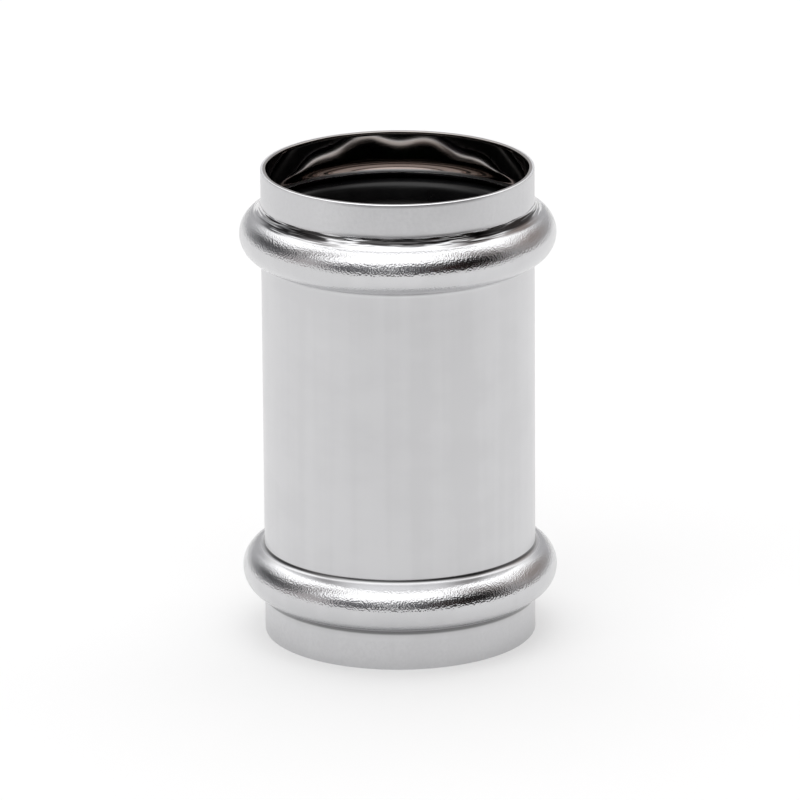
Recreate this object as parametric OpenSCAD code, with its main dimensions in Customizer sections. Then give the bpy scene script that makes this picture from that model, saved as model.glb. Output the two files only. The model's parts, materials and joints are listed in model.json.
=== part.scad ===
// Press coupling for large thin-walled pipe. One formed shell carries a round bead near each
// end, and each bead holds a loose rubber seal ring. The bore is plain from rim to rim, so the
// coupling slides over a pipe. It stands on its lower rim, with its axis along Z.

/* [Pipe] */
// Outside diameter of the pipe that goes into each end
pipe_d = 108; // [106:0.1:110]
// Gap all round between the pipe and the bore
pipe_gap = 0.4; // [0.2:0.05:0.6]

/* [Shell] */
// Length from rim to rim
shell_l = 199; // [150:1:320]
// Wall thickness
wall = 2; // [1.5:0.1:2.2]
// Edge break on the inner and outer edge of each rim
edge_break = 0.3; // [0.1:0.05:0.6]

/* [Beads] */
// Distance from a rim to the middle of its bead
bead_inset = 27.5; // [25:0.5:36]
// Height of a bead's crown above the barrel
bead_rise = 9; // [8.8:0.1:9.6]
// Outside radius of the bead's round section
bead_section_r = 10; // [9.4:0.1:10]
// Distance along the axis from a bead's middle to the end of its fillet on the collar
collar_reach = 15; // [12.4:0.1:15]
// Distance along the axis from a bead's middle to the end of its fillet on the barrel
barrel_reach = 12; // [11.8:0.1:15]

/* [Seal rings] */
// Thickness of the rubber across the tube's axis
seal_w = 8; // [7:0.1:8.1]
// Height of the rubber along the tube's axis
seal_h = 11.8; // [9:0.1:12]
// How far a ring's inner face lies behind the bore
seal_set_back = 0.25; // [0.1:0.05:0.4]

/* [Hidden] */
$fn = 180;

bore_r = pipe_d / 2 + pipe_gap;
barrel_r = bore_r + wall;
crown_r = barrel_r + bead_rise;
bead_centre_r = crown_r - bead_section_r;

lower_bead_z = bead_inset;
upper_bead_z = shell_l - bead_inset;

seal_centre_r = bore_r + seal_set_back + seal_w / 2;

// Radius inside every profile below, where the hollow is certain.
core_r = bore_r - 10;
overcut = 1;

// Which way a bead's collar lies from it.
DOWN = -1;
UP = 1;

// How far a bead's fillet reaches from its middle, on the side that "side" names.
function reach(side, collar_side) = side == collar_side ? collar_reach : barrel_reach;

// A fillet touches both the tube and the bead's round section, which sets its radius.
function fillet_r(side, collar_side) =
    (pow(reach(side, collar_side), 2) + pow(bead_rise, 2)) / (2 * bead_rise) - bead_section_r;

// Half of the (r, z) plane is drawn, and each profile below fills it from core_r out to a
// surface that lies "inset" under the outside of the shell.

// The tube under a bead and both of its fillets, up to the lines between the arcs' centres.
module bead_flanks(inset, collar_side) {
    difference() {
        polygon([
            [core_r, -reach(DOWN, collar_side)],
            [barrel_r + fillet_r(DOWN, collar_side), -reach(DOWN, collar_side)],
            [bead_centre_r, 0],
            [barrel_r + fillet_r(UP, collar_side), reach(UP, collar_side)],
            [core_r, reach(UP, collar_side)]
        ]);
        for (side = [DOWN, UP])
            translate([barrel_r + fillet_r(side, collar_side), side * reach(side, collar_side)])
                circle(r = fillet_r(side, collar_side) + inset);
    }
}

// The round of a bead, beyond the same lines.
module bead_round(inset, collar_side) {
    intersection() {
        translate([bead_centre_r, 0])
            circle(r = bead_section_r - inset);
        polygon([
            [bead_centre_r, 0],
            [barrel_r + fillet_r(DOWN, collar_side), -reach(DOWN, collar_side)],
            [crown_r + overcut, -reach(DOWN, collar_side)],
            [crown_r + overcut, reach(UP, collar_side)],
            [barrel_r + fillet_r(UP, collar_side), reach(UP, collar_side)]
        ]);
    }
}

module bead_profile(inset, collar_side) {
    bead_flanks(inset, collar_side);
    bead_round(inset, collar_side);
}

// A straight length of tube between two heights.
module tube_profile(inset, from_z, to_z) {
    translate([core_r, from_z])
        square([barrel_r - inset - core_r, to_z - from_z]);
}

// The whole profile, run "over" past both rims.
module shell_profile(inset, over) {
    tube_profile(inset, -over, lower_bead_z - collar_reach);
    translate([0, lower_bead_z]) bead_profile(inset, DOWN);
    tube_profile(inset, lower_bead_z + barrel_reach, upper_bead_z - barrel_reach);
    translate([0, upper_bead_z]) bead_profile(inset, UP);
    tube_profile(inset, upper_bead_z + collar_reach, shell_l + over);
}

// A 45 degree cutter centred on a sharp edge.
module edge_cutter(r, z) {
    translate([r, z])
        polygon([[edge_break, 0], [0, edge_break], [-edge_break, 0], [0, -edge_break]]);
}

module coupling_shell() {
    color([0.72, 0.72, 0.73])
        rotate_extrude()
            difference() {
                shell_profile(0, 0);
                union() {
                    shell_profile(wall, overcut);
                    translate([core_r - overcut, -overcut])
                        square([2 * overcut, shell_l + 2 * overcut]);
                }
                for (r = [bore_r, barrel_r], z = [0, shell_l])
                    edge_cutter(r, z);
            }
}

// An oblong section with round ends: it fills more of the chamber's height than of its depth.
module seal_profile() {
    end_r = seal_w / 2;
    end_z = seal_h / 2 - end_r;
    for (z = [-end_z, end_z])
        translate([0, z]) circle(r = end_r);
    translate([-end_r, -end_z]) square([seal_w, 2 * end_z]);
}

module seal_ring(z) {
    color([0.06, 0.06, 0.065])
        translate([0, 0, z])
            rotate_extrude()
                translate([seal_centre_r, 0])
                    seal_profile();
}

module upper_seal_ring() {
    seal_ring(upper_bead_z);
}

module lower_seal_ring() {
    seal_ring(lower_bead_z);
}

coupling_shell();
upper_seal_ring();
lower_seal_ring();
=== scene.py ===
"""Looks for a large thin-walled press coupling: a formed metal shell and its two loose seal rings.

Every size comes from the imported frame. Lengths are in metres.
"""
import json
import math

import bpy
import numpy as np
from mathutils import Matrix, Vector


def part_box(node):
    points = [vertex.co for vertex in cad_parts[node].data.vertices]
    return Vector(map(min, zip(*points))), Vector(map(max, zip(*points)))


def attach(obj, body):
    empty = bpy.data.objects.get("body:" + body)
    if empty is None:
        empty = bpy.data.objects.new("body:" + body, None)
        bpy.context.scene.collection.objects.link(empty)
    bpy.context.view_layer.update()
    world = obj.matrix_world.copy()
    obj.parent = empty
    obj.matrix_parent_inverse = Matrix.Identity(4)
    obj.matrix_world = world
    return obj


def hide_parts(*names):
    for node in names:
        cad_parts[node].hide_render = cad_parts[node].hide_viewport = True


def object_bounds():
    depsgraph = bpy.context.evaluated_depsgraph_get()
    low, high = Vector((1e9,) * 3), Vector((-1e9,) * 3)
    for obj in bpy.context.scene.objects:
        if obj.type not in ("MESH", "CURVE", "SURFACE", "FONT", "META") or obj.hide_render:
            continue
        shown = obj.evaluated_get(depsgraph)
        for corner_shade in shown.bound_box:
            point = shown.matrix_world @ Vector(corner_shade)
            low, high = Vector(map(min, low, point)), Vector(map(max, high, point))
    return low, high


MM = 0.001

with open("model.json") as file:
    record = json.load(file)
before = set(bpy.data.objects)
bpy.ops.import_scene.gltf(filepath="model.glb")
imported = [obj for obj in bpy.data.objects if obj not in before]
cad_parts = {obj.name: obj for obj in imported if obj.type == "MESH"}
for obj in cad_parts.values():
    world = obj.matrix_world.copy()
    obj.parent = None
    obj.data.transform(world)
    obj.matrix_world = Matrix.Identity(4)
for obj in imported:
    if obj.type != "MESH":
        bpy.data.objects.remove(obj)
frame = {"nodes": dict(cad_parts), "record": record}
cad_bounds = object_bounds()

# ---------------------------------------------------------------- sizes read from the frame

record = frame["record"]
mounts = {mount["name"]: mount for mount in record["mounts"]}


def bore_span(name):
    """Lowest and highest z of a bore mount's straight wall."""
    mount = mounts[name]
    half = mount["dims"]["length_mm"] * MM / 2
    return mount["pos_m"][2] - half, mount["pos_m"][2] + half


def radial_span(node):
    """Smallest and largest distance of a CAD node's surface from the axis."""
    radii = [math.hypot(v.co.x, v.co.y) for v in frame["nodes"][node].data.vertices]
    return min(radii), max(radii)


SHELL_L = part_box("coupling_shell")[1].z
CROWN_R = radial_span("coupling_shell")[1]
BORE_R = mounts["barrel_bore"]["dims"]["r_mm"] * MM
WALL = 2 * (mounts["lower_rim"]["pos_m"][0] - BORE_R)
BARREL_R = BORE_R + WALL
SOCKET_END = bore_span("lower_socket")[1]
BARREL_START = bore_span("barrel_bore")[0]

BEAD_Z = sum(corner_shade.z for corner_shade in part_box("lower_seal_ring")) / 2
BEAD_RISE = CROWN_R - BARREL_R
BEAD_SECTION_R = 10 * MM
BEAD_CENTRE_R = CROWN_R - BEAD_SECTION_R
# How far each fillet reaches from the bead's middle, along the axis.
COLLAR_REACH = BEAD_Z - SOCKET_END
BARREL_REACH = BARREL_START - BEAD_Z

# ---------------------------------------------------------------- mesh density and form

SHELL_SEGMENTS = 288
RING_SEGMENTS = 240
RING_SECTION_POINTS = 40
# Points along each stretch of the shell's outline.
COLLAR_POINTS = 8
FILLET_POINTS = 11
BEAD_POINTS = 38
BARREL_POINTS = 22
RIM_POINTS = 4

RIM_ROUND = 0.32 * MM
# The sheet isn't a perfect cylinder after forming: the collars neck in, unevenly. Each wave of
# the inner wall's lean is (lobes round the tube, phase in degrees, lean in radians).
COLLAR_LEANS = [(0, 0, -0.0115), (13, 0, 0.0070), (3, 95, 0.0040), (5, 40, 0.0020)]
OVALITY = 0.06 * MM
OVALITY_PHASE = 1.87

# ---------------------------------------------------------------- camera

CAMERA_DISTANCE = 30 * 2 * BARREL_R
CAMERA_ELEVATION = math.radians(17.6)
CAMERA_ROLL = math.radians(0.4)
CAMERA_LENS = 367.6
CAMERA_SENSOR = 36.0
# How far the aim is to the right of the object's middle, and below it.
AIM_RIGHT = 0.42 * MM
AIM_DOWN = 0.78 * MM


# ---------------------------------------------------------------- mesh helpers

def arc(centre_r, centre_z, radius, start, end, count):
    """Points of an arc in the (r, z) half-plane, both ends included."""
    angles = np.linspace(start, end, count)
    return [(centre_r + radius * math.cos(a), centre_z + radius * math.sin(a)) for a in angles]


def straight(r, z_from, z_to, count):
    """Points of a straight wall, without its two ends."""
    return [(r, z) for z in np.linspace(z_from, z_to, count + 2)[1:-1]]


def fillet_arcs(reach):
    """(fillet radius, fillet centre's r, angle at which the fillet meets the bead's round)."""
    radius = (reach**2 + BEAD_RISE**2) / (2 * BEAD_RISE) - BEAD_SECTION_R
    centre_r = BARREL_R + radius
    return radius, centre_r, math.atan2(reach, centre_r - BEAD_CENTRE_R)


def bead_surface(inset, bead_z, below, above):
    """Upward run over one bead, "inset" under the outside: fillet, round, fillet."""
    low_r, low_centre, low_turn = fillet_arcs(below)
    high_r, high_centre, high_turn = fillet_arcs(above)
    round_r = BEAD_SECTION_R - inset
    points = arc(
        low_centre, bead_z - below, low_r + inset, math.pi, math.pi - low_turn, FILLET_POINTS
    )
    points += arc(BEAD_CENTRE_R, bead_z, round_r, -low_turn, high_turn, BEAD_POINTS)[1:-1]
    points += arc(
        high_centre, bead_z + above, high_r + inset, math.pi + high_turn, math.pi, FILLET_POINTS
    )
    return points


def wall_surface(inset):
    """Upward run from just above the lower rim to just under the upper one."""
    r = BARREL_R - inset
    points = straight(r, RIM_ROUND, SOCKET_END, COLLAR_POINTS)
    points += bead_surface(inset, BEAD_Z, COLLAR_REACH, BARREL_REACH)
    points += straight(r, BARREL_START, SHELL_L - BARREL_START, BARREL_POINTS)
    points += bead_surface(inset, SHELL_L - BEAD_Z, BARREL_REACH, COLLAR_REACH)
    points += straight(r, SHELL_L - SOCKET_END, SHELL_L - RIM_ROUND, COLLAR_POINTS)
    return points


def shell_profile():
    """Closed outline of the wall: up the outside, over the rim, down the inside, under the rim."""
    quarter = math.pi / 2
    top, bottom = SHELL_L - RIM_ROUND, RIM_ROUND
    outer, inner = BARREL_R - RIM_ROUND, BORE_R + RIM_ROUND
    points = wall_surface(0)
    points += arc(outer, top, RIM_ROUND, 0, quarter, RIM_POINTS)
    points += arc(inner, top, RIM_ROUND, quarter, 2 * quarter, RIM_POINTS)
    points += reversed(wall_surface(WALL))
    points += arc(inner, bottom, RIM_ROUND, 2 * quarter, 3 * quarter, RIM_POINTS)
    points += arc(outer, bottom, RIM_ROUND, 3 * quarter, 4 * quarter, RIM_POINTS)
    return points


def turned(name, profile, segments, move=None):
    """A closed ring-shaped mesh: the profile turned round Z, shaded smooth."""
    outline = np.array(profile)
    angles = np.linspace(0, 2 * math.pi, segments, endpoint=False)
    r = np.repeat(outline[:, 0][:, None], segments, axis=1)
    z = np.repeat(outline[:, 1][:, None], segments, axis=1)
    theta = np.repeat(angles[None, :], len(outline), axis=0)
    if move is not None:
        r = r + move(r, theta, z)
    verts = np.stack([r * np.cos(theta), r * np.sin(theta), z], axis=-1).reshape(-1, 3)
    rows = np.arange(len(outline))
    cols = np.arange(segments)
    a = (rows[:, None] * segments + cols[None, :]).ravel()
    b = (rows[:, None] * segments + (cols[None, :] + 1) % segments).ravel()
    up = (rows + 1) % len(outline)
    c = (up[:, None] * segments + (cols[None, :] + 1) % segments).ravel()
    d = (up[:, None] * segments + cols[None, :]).ravel()
    faces = np.stack([a, b, c, d], axis=-1)
    mesh = bpy.data.meshes.new(name)
    mesh.from_pydata(verts.tolist(), [], faces.tolist())
    mesh.validate()
    mesh.shade_smooth()
    piece = bpy.data.objects.new(name, mesh)
    bpy.context.scene.collection.objects.link(piece)
    return piece


def formed_sheet(r, theta, z):
    """How far the formed sheet strays from a true tube: ovality, and collars that lean."""
    stray = OVALITY * (np.cos(2 * theta + OVALITY_PHASE) - 1) / 2
    from_rim = np.minimum(z, SHELL_L - z)
    above_bead = np.clip(SOCKET_END - from_rim, 0, None)
    round_back = theta - math.pi / 2
    lean = sum(
        slope * np.cos(lobes * round_back + math.radians(phase))
        for lobes, phase, slope in COLLAR_LEANS
    )
    inside = r < BORE_R + WALL / 2
    return stray + np.where(inside, lean * above_bead, 0)


# ---------------------------------------------------------------- material helpers

class Nodes:
    """A small builder for one node tree."""

    def __init__(self, tree):
        self.tree = tree
        tree.nodes.clear()

    def add(self, kind, inputs=None, **settings):
        node = self.tree.nodes.new(kind)
        for key, value in settings.items():
            setattr(node, key, value)
        for key, value in (inputs or {}).items():
            self.put(node.inputs[key], value)
        return node

    def put(self, socket, value):
        if isinstance(value, bpy.types.NodeSocket):
            self.tree.links.new(value, socket)
        else:
            socket.default_value = value

    def math(self, operation, a, b=0.0):
        node = self.add("ShaderNodeMath", operation=operation)
        self.put(node.inputs[0], a)
        self.put(node.inputs[1], b)
        return node.outputs[0]

    def product(self, first, *others):
        for other in others:
            first = self.math("MULTIPLY", first, other)
        return first

    def ramp(self, value, low, high, to_low=0.0, to_high=1.0):
        """value remapped smoothly from low..high to to_low..to_high, held outside."""
        node = self.add(
            "ShaderNodeMapRange",
            {"Value": value, "From Min": low, "From Max": high,
             "To Min": to_low, "To Max": to_high},
        )
        node.interpolation_type = "SMOOTHSTEP"
        return node.outputs["Result"]

    def fall(self, value, low, high):
        """1 below low, 0 above high."""
        return self.ramp(value, low, high, 1.0, 0.0)

    def noise(self, vector, scale, detail=2.0, roughness=0.5):
        node = self.add(
            "ShaderNodeTexNoise",
            {"Vector": vector, "Scale": scale, "Detail": detail, "Roughness": roughness},
        )
        return node.outputs["Fac"]

    def centred(self, noise):
        """A noise about 0 instead of about a half."""
        return self.math("SUBTRACT", noise, 0.5)

    def mix(self, factor, a, b):
        """Number a where factor is 0, number b where it is 1."""
        node = self.add("ShaderNodeMix", {"Factor": factor}, data_type="FLOAT")
        self.put(node.inputs[2], a)
        self.put(node.inputs[3], b)
        return node.outputs[0]

    def blend(self, factor, a, b):
        """Colour a where factor is 0, colour b where it is 1."""
        node = self.add("ShaderNodeMix", data_type="RGBA")
        self.put(node.inputs["Factor"], factor)
        self.put(node.inputs[6], a)
        self.put(node.inputs[7], b)
        return node.outputs[2]

    def mapped(self, vector, scale):
        node = self.add("ShaderNodeMapping", {"Vector": vector, "Scale": scale})
        return node.outputs["Vector"]


def new_material(name):
    material = bpy.data.materials.new(name)
    material.use_nodes = True
    return material, Nodes(material.node_tree)


def metal_material():
    """Bright metal: satin on straight walls, shinier and pebbled on beads, polished inside."""
    material, n = new_material("bright_metal")
    place = n.add("ShaderNodeTexCoord").outputs["Object"]
    x, y, z = n.add("ShaderNodeSeparateXYZ", {"Vector": place}).outputs
    radius = n.math("SQRT", n.math("ADD", n.math("MULTIPLY", x, x), n.math("MULTIPLY", y, y)))
    rise = n.math("SUBTRACT", radius, BARREL_R)
    from_rim = n.math("MINIMUM", z, n.math("SUBTRACT", SHELL_L, z))

    # Grain stretched round the tube and up it, and grain that runs no way.
    round_marks = n.noise(n.mapped(place, (0.06, 0.06, 1.0)), 1000.0, 1.0, 0.5)
    round_waves = n.noise(n.mapped(place, (0.5, 0.5, 1.0)), 180.0, 2.0, 0.5)
    up_marks = n.noise(n.mapped(place, (1.0, 1.0, 0.03)), 130.0, 2.0, 0.5)
    wisps = n.noise(n.mapped(place, (0.5, 0.5, 1.0)), 60.0, 3.0, 0.55)
    cells = n.add("ShaderNodeTexVoronoi", {"Vector": place, "Scale": 1340.0})
    pebble = cells.outputs["Distance"]
    mottle = n.noise(place, 45.0, 3.0, 0.6)
    speck = n.noise(place, 700.0, 2.0, 0.6)

    outside = n.ramp(radius, BORE_R + 0.4 * WALL, BORE_R + 0.6 * WALL)
    upper_half = n.ramp(z, SHELL_L / 2, SHELL_L / 2 + 1 * MM)
    # The polish starts unevenly, a little way up the fillet.
    jagged = n.math("MULTIPLY", n.centred(round_waves), 0.16 * MM)
    on_bead = n.ramp(n.math("ADD", rise, jagged), 0.11 * MM, 0.14 * MM)
    on_crown = n.ramp(rise, 2.5 * MM, 4.5 * MM)
    past_fillet = n.ramp(rise, 1.4 * MM, 3.0 * MM)
    on_collar = n.fall(from_rim, SOCKET_END - 1 * MM, SOCKET_END + 1 * MM)
    collar_side = n.fall(from_rim, BEAD_Z - 2 * MM, BEAD_Z + 2 * MM)
    rolled = n.product(on_bead, n.fall(rise, 1.6 * MM, 3.4 * MM))
    rolled = n.math("MULTIPLY", rolled, n.math("MULTIPLY", collar_side, upper_half))
    # Painted shade: a dark line in the corner between the barrel and the top of the lower bead.
    corner_shade = n.product(
        n.ramp(rise, 0.01 * MM, 0.05 * MM),
        n.fall(rise, 0.2 * MM, 0.85 * MM),
        n.ramp(z, BEAD_Z, BEAD_Z + 4 * MM),
        n.fall(z, SHELL_L / 2 - 1 * MM, SHELL_L / 2 + 1 * MM),
    )
    # And painted shade under that bead, above its collar.
    low = n.fall(z, BEAD_Z - 4 * MM, BEAD_Z)
    under_bead_shade = n.product(
        n.ramp(rise, 0.4 * MM, 1.0 * MM), n.fall(rise, 1.7 * MM, 2.8 * MM), low
    )
    # Painted dark reflections: dark streaks on the upper bead's collar side.
    streaks = n.ramp(n.math("ADD", round_marks, n.centred(wisps)), 0.38, 0.54)
    dark_reflection = n.product(rolled, n.fall(rise, 1.2 * MM, 2.2 * MM), streaks)
    # Painted highlight: the rim's cut edge is coloured near white.
    cut_edge = n.fall(from_rim, 0.05 * MM, 0.3 * MM)
    # Painted reflection: a bright brown strip inside, in the fillet on each bead's collar side.
    lip = n.product(
        n.ramp(from_rim, SOCKET_END, SOCKET_END + 1 * MM),
        n.fall(from_rim, BEAD_Z - 9 * MM, BEAD_Z - 6 * MM),
    )

    # Roughness of the satin walls, the fillets, the beads and the inside.
    satin = n.ramp(mottle, 0.3, 0.7, 0.28, 0.31)
    fillet = n.ramp(n.math("SUBTRACT", collar_side, low), 0.0, 1.0, 0.28, 0.07)
    crown = n.ramp(mottle, 0.3, 0.7, 0.14, 0.18)
    inner = n.ramp(mottle, 0.3, 0.7, 0.03, 0.045)
    rough = n.mix(past_fillet, fillet, crown)
    rough = n.mix(n.math("SUBTRACT", 1.0, on_bead), rough, satin)
    rough = n.mix(outside, inner, rough)

    bright = (0.625, 0.625, 0.635, 1)
    dull = (0.600, 0.600, 0.610, 1)
    worn = (0.575, 0.575, 0.585, 1)
    # Dark grey for the painted shade.
    dark = (0.10, 0.10, 0.10, 1)
    # Near black for the painted dark reflections.
    reflection_black = (0.035, 0.033, 0.033, 1)
    # Near white for the painted rim highlight.
    rim_highlight = (0.88, 0.88, 0.89, 1)
    warm = (0.42, 0.395, 0.38, 1)
    # Brown for the painted reflection inside.
    lip_reflection_brown = (0.90, 0.76, 0.70, 1)
    grain = n.ramp(n.math("ADD", up_marks, n.centred(wisps)), 0.3, 0.7)
    wear = n.math("MULTIPLY", on_collar, n.ramp(speck, 0.3, 0.75, 0.3, 1.0))
    skin = n.blend(grain, bright, dull)
    skin = n.blend(wear, skin, worn)
    # Painted shade in the corner over the lower bead.
    skin = n.blend(n.math("MULTIPLY", corner_shade, 0.9), skin, dark)
    # Painted shade under the lower bead.
    skin = n.blend(n.math("MULTIPLY", under_bead_shade, 0.75), skin, dark)
    # Painted dark reflections on the upper bead.
    skin = n.blend(n.math("MULTIPLY", dark_reflection, 0.95), skin, reflection_black)
    # Painted highlight on the rim's cut edge.
    skin = n.blend(cut_edge, skin, rim_highlight)
    # Inside: the warm wall with the painted brown reflection.
    colour = n.blend(outside, n.blend(lip, warm, lip_reflection_brown), skin)

    crown_height = n.math("MULTIPLY", pebble, n.math("MULTIPLY", on_crown, outside))
    rolled_height = n.math("MULTIPLY", round_marks, n.math("MULTIPLY", rolled, outside))
    rolled_bump = n.add(
        "ShaderNodeBump",
        {"Strength": 1.0, "Distance": 0.55 * MM, "Height": rolled_height},
    )
    pebble_bump = n.add(
        "ShaderNodeBump",
        {"Strength": 1.0, "Distance": 0.082 * MM, "Height": crown_height,
         "Normal": rolled_bump.outputs[0]},
    )
    shader = n.add(
        "ShaderNodeBsdfPrincipled",
        {"Base Color": colour, "Metallic": 1.0, "Roughness": rough,
         "Normal": pebble_bump.outputs[0]},
    )
    n.add("ShaderNodeOutputMaterial", {"Surface": shader.outputs[0]})
    return material


def rubber_material():
    """Smooth moulded black rubber with a soft sheen and a little dust."""
    material, n = new_material("black_rubber")
    place = n.add("ShaderNodeTexCoord").outputs["Object"]
    bloom = n.noise(place, 60.0, 4.0, 0.6)
    skin = n.noise(place, 1800.0, 2.0, 0.5)
    colour = n.blend(n.ramp(bloom, 0.4, 0.75), (0.004, 0.004, 0.0045, 1), (0.009, 0.009, 0.0095, 1))
    rough = n.ramp(bloom, 0.3, 0.7, 0.26, 0.34)
    bump = n.add("ShaderNodeBump", {"Strength": 1.0, "Distance": 0.01 * MM, "Height": skin})
    shader = n.add(
        "ShaderNodeBsdfPrincipled",
        {"Base Color": colour, "Roughness": rough, "Normal": bump.outputs[0],
         "Specular IOR Level": 0.4},
    )
    n.add("ShaderNodeOutputMaterial", {"Surface": shader.outputs[0]})
    return material


# ---------------------------------------------------------------- the pieces

def make_shell():
    shell = turned("formed_shell", shell_profile(), SHELL_SEGMENTS, formed_sheet)
    shell.data.materials.append(metal_material())
    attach(shell, "shell")
    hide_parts("coupling_shell")
    return shell


def make_ring(name, node, body, material):
    """A moulded ring with an oblong section: two half rounds joined by straight sides."""
    low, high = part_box(node)
    inner_r, outer_r = radial_span(node)
    middle_r, middle_z = (inner_r + outer_r) / 2, (low.z + high.z) / 2
    end_r = (outer_r - inner_r) / 2
    end_z = (high.z - low.z) / 2 - end_r
    half = RING_SECTION_POINTS // 2
    profile = arc(middle_r, middle_z + end_z, end_r, 0, math.pi, half)
    profile += arc(middle_r, middle_z - end_z, end_r, math.pi, 2 * math.pi, half)
    ring = turned(name, profile, RING_SEGMENTS)
    ring.data.materials.append(material)
    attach(ring, body)
    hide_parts(node)
    return ring


make_shell()
rubber = rubber_material()
make_ring("upper_rubber_ring", "upper_seal_ring", "upper_ring", rubber)
make_ring("lower_rubber_ring", "lower_seal_ring", "lower_ring", rubber)


# ---------------------------------------------------------------- stage, light and camera

FLOOR_SIDE = 60.0


def make_floor():
    half = FLOOR_SIDE / 2
    mesh = bpy.data.meshes.new("floor")
    corners = [(-half, -half, 0), (half, -half, 0), (half, half, 0), (-half, half, 0)]
    mesh.from_pydata(corners, [], [(0, 1, 2, 3)])
    floor = bpy.data.objects.new("floor", mesh)
    bpy.context.scene.collection.objects.link(floor)
    material, n = new_material("pale_floor")
    shader = n.add(
        "ShaderNodeBsdfPrincipled",
        {"Base Color": (0.52, 0.52, 0.52, 1), "Roughness": 0.9, "Specular IOR Level": 0.0,
         "Emission Color": (1.0, 1.0, 1.0, 1), "Emission Strength": 0.42},
    )
    n.add("ShaderNodeOutputMaterial", {"Surface": shader.outputs[0]})
    mesh.materials.append(material)


def towards(azimuth, elevation):
    """Unit vector: azimuth 0 points at the camera's side, positive to its right."""
    a, e = math.radians(azimuth), math.radians(elevation)
    return Vector((math.sin(a) * math.cos(e), -math.cos(a) * math.cos(e), math.sin(e)))


# What stands round the studio, at eye level and a little above: (azimuth, elevation,
# half-width, half-height, softness of the edge, all in degrees, then colour). They are laid
# over each other in this order.
SURROUNDINGS = [
    (-88, 40, 17, 22, 13, (0.42, 0.40, 0.40)),
    (82, 40, 20, 24, 13, (0.36, 0.33, 0.32)),
    (-72, 8, 26, 14, 10, (0.62, 0.59, 0.59)),
    (-34, 12, 17, 18, 8, (0.15, 0.15, 0.16)),
    (8, 16, 16, 22, 8, (0.16, 0.16, 0.17)),
    (-5, 14, 6, 8, 4, (0.95, 0.95, 0.95)),
    (54, 14, 29, 29, 12, (0.012, 0.011, 0.011)),
    (34, 8, 9, 18, 7, (0.045, 0.028, 0.025)),
    (92, 0, 30, 5, 3, (0.14, 0.11, 0.10)),
    (-112, 22, 26, 14, 9, (0.11, 0.11, 0.115)),
    (126, 24, 20, 14, 12, (0.36, 0.31, 0.29)),
]
# How far the noise shifts the patches' upright edges, in degrees.
EDGE_STRAY = 16.0
# A low dark card that stands on the floor at the camera's side, unseen by the camera: its
# distance and height, the azimuths it runs between, and how far its ends taper, in degrees.
SCREEN_DISTANCE = 1.4
SCREEN_HEIGHT = 0.20
SCREEN_FROM, SCREEN_TO = -60, 90
SCREEN_TAPER = 35


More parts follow.
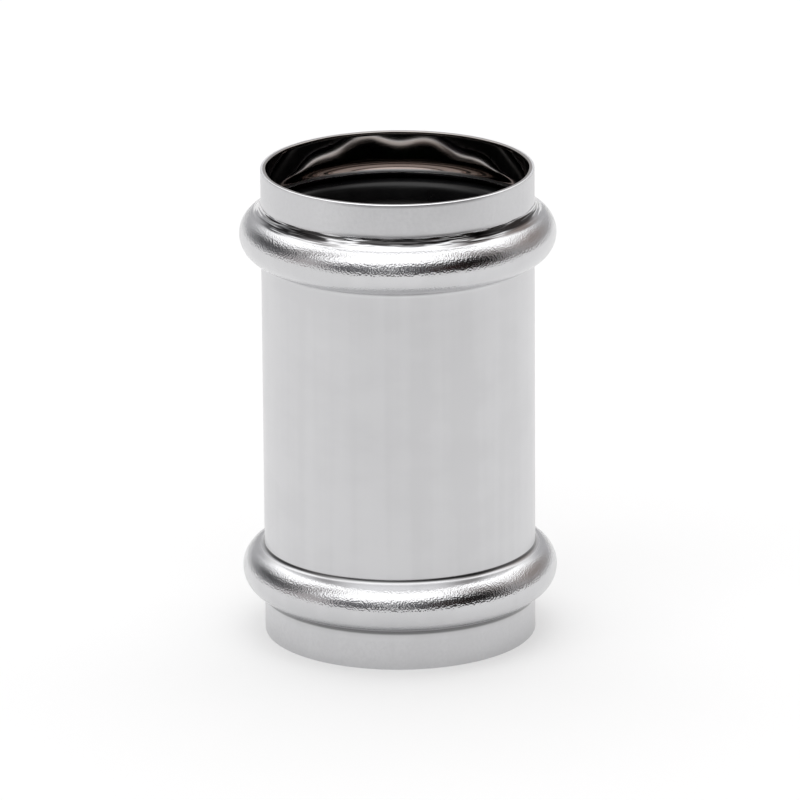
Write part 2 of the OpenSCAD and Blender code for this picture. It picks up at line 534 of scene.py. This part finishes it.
def make_world():
    world = bpy.data.worlds.new("studio")
    bpy.context.scene.world = world
    world.use_nodes = True
    n = Nodes(world.node_tree)
    ray = n.add("ShaderNodeTexCoord").outputs["Generated"]
    x, y, z = n.add("ShaderNodeSeparateXYZ", {"Vector": ray}).outputs
    degrees = 180 / math.pi
    elevation = n.math("MULTIPLY", n.math("ARCSINE", z), degrees)
    # A grey surround at eye level under a broad bright ceiling.
    uneven = n.noise(ray, 5.0, 3.0, 0.6)
    colour = n.blend(
        n.ramp(elevation, 22.0, 40.0), (0.55, 0.55, 0.56, 1), (1.8, 1.8, 1.8, 1),
    )
    for azimuth, middle, half_width, half_height, soft, tint in SURROUNDINGS:
        a = math.radians(azimuth)
        # Azimuth from the patch's own middle, so that none of them crosses the seam.
        along = n.math(
            "ADD", n.math("MULTIPLY", x, math.cos(a)), n.math("MULTIPLY", y, math.sin(a))
        )
        ahead = n.math(
            "SUBTRACT", n.math("MULTIPLY", x, math.sin(a)), n.math("MULTIPLY", y, math.cos(a))
        )
        aside = n.math("MULTIPLY", n.math("ARCTAN2", along, ahead), degrees)
        stray = n.math("MULTIPLY", n.centred(uneven), EDGE_STRAY)
        across = n.fall(
            n.math("ADD", n.math("ABSOLUTE", aside), stray), half_width - soft, half_width + soft
        )
        upright = n.fall(
            n.math("ABSOLUTE", n.math("SUBTRACT", elevation, middle)),
            half_height - soft, half_height + soft,
        )
        colour = n.blend(n.math("MULTIPLY", across, upright), colour, (*tint, 1))
    seen = n.add("ShaderNodeLightPath").outputs["Is Camera Ray"]
    colour = n.blend(seen, colour, (0.95, 0.95, 0.95, 1))
    background = n.add("ShaderNodeBackground", {"Color": colour, "Strength": 1.0})
    n.add("ShaderNodeOutputWorld", {"Surface": background.outputs[0]})


def make_screen():
    azimuths = np.linspace(SCREEN_FROM, SCREEN_TO, 40)
    from_end = np.minimum(azimuths - SCREEN_FROM, SCREEN_TO - azimuths)
    heights = SCREEN_HEIGHT * np.clip(from_end / SCREEN_TAPER, 0.02, 1)
    feet = [towards(a, 0) * SCREEN_DISTANCE for a in azimuths]
    tops = [foot + Vector((0, 0, height)) for foot, height in zip(feet, heights)]
    count = len(feet)
    faces = [(i, i + 1, count + i + 1, count + i) for i in range(count - 1)]
    mesh = bpy.data.meshes.new("dark_screen")
    mesh.from_pydata(feet + tops, [], faces)
    screen = bpy.data.objects.new("dark_screen", mesh)
    bpy.context.scene.collection.objects.link(screen)
    material, n = new_material("dark_cloth")
    shader = n.add(
        "ShaderNodeBsdfPrincipled",
        {"Base Color": (0.05, 0.045, 0.045, 1), "Roughness": 1.0, "Specular IOR Level": 0.0},
    )
    n.add("ShaderNodeOutputMaterial", {"Surface": shader.outputs[0]})
    mesh.materials.append(material)
    screen.visible_camera = False


def make_camera():
    scene = bpy.context.scene
    low, high = Vector(cad_bounds[0]), Vector(cad_bounds[1])
    middle = (low + high) / 2
    away = towards(0, math.degrees(CAMERA_ELEVATION))
    right = Vector((1, 0, 0))
    up = right.cross(-away)
    data = bpy.data.cameras.new("camera")
    data.sensor_width = CAMERA_SENSOR
    data.lens = CAMERA_LENS
    data.clip_start = 0.05
    data.clip_end = 200
    camera = bpy.data.objects.new("camera", data)
    aim = middle + right * AIM_RIGHT - up * AIM_DOWN
    turn = Matrix((right, up, away)).transposed() @ Matrix.Rotation(-CAMERA_ROLL, 3, "Z")
    camera.matrix_world = Matrix.Translation(aim + away * CAMERA_DISTANCE) @ turn.to_4x4()
    scene.collection.objects.link(camera)
    scene.camera = camera


make_floor()
make_screen()
make_world()
make_camera()
bpy.context.scene.view_settings.view_transform = "Standard"
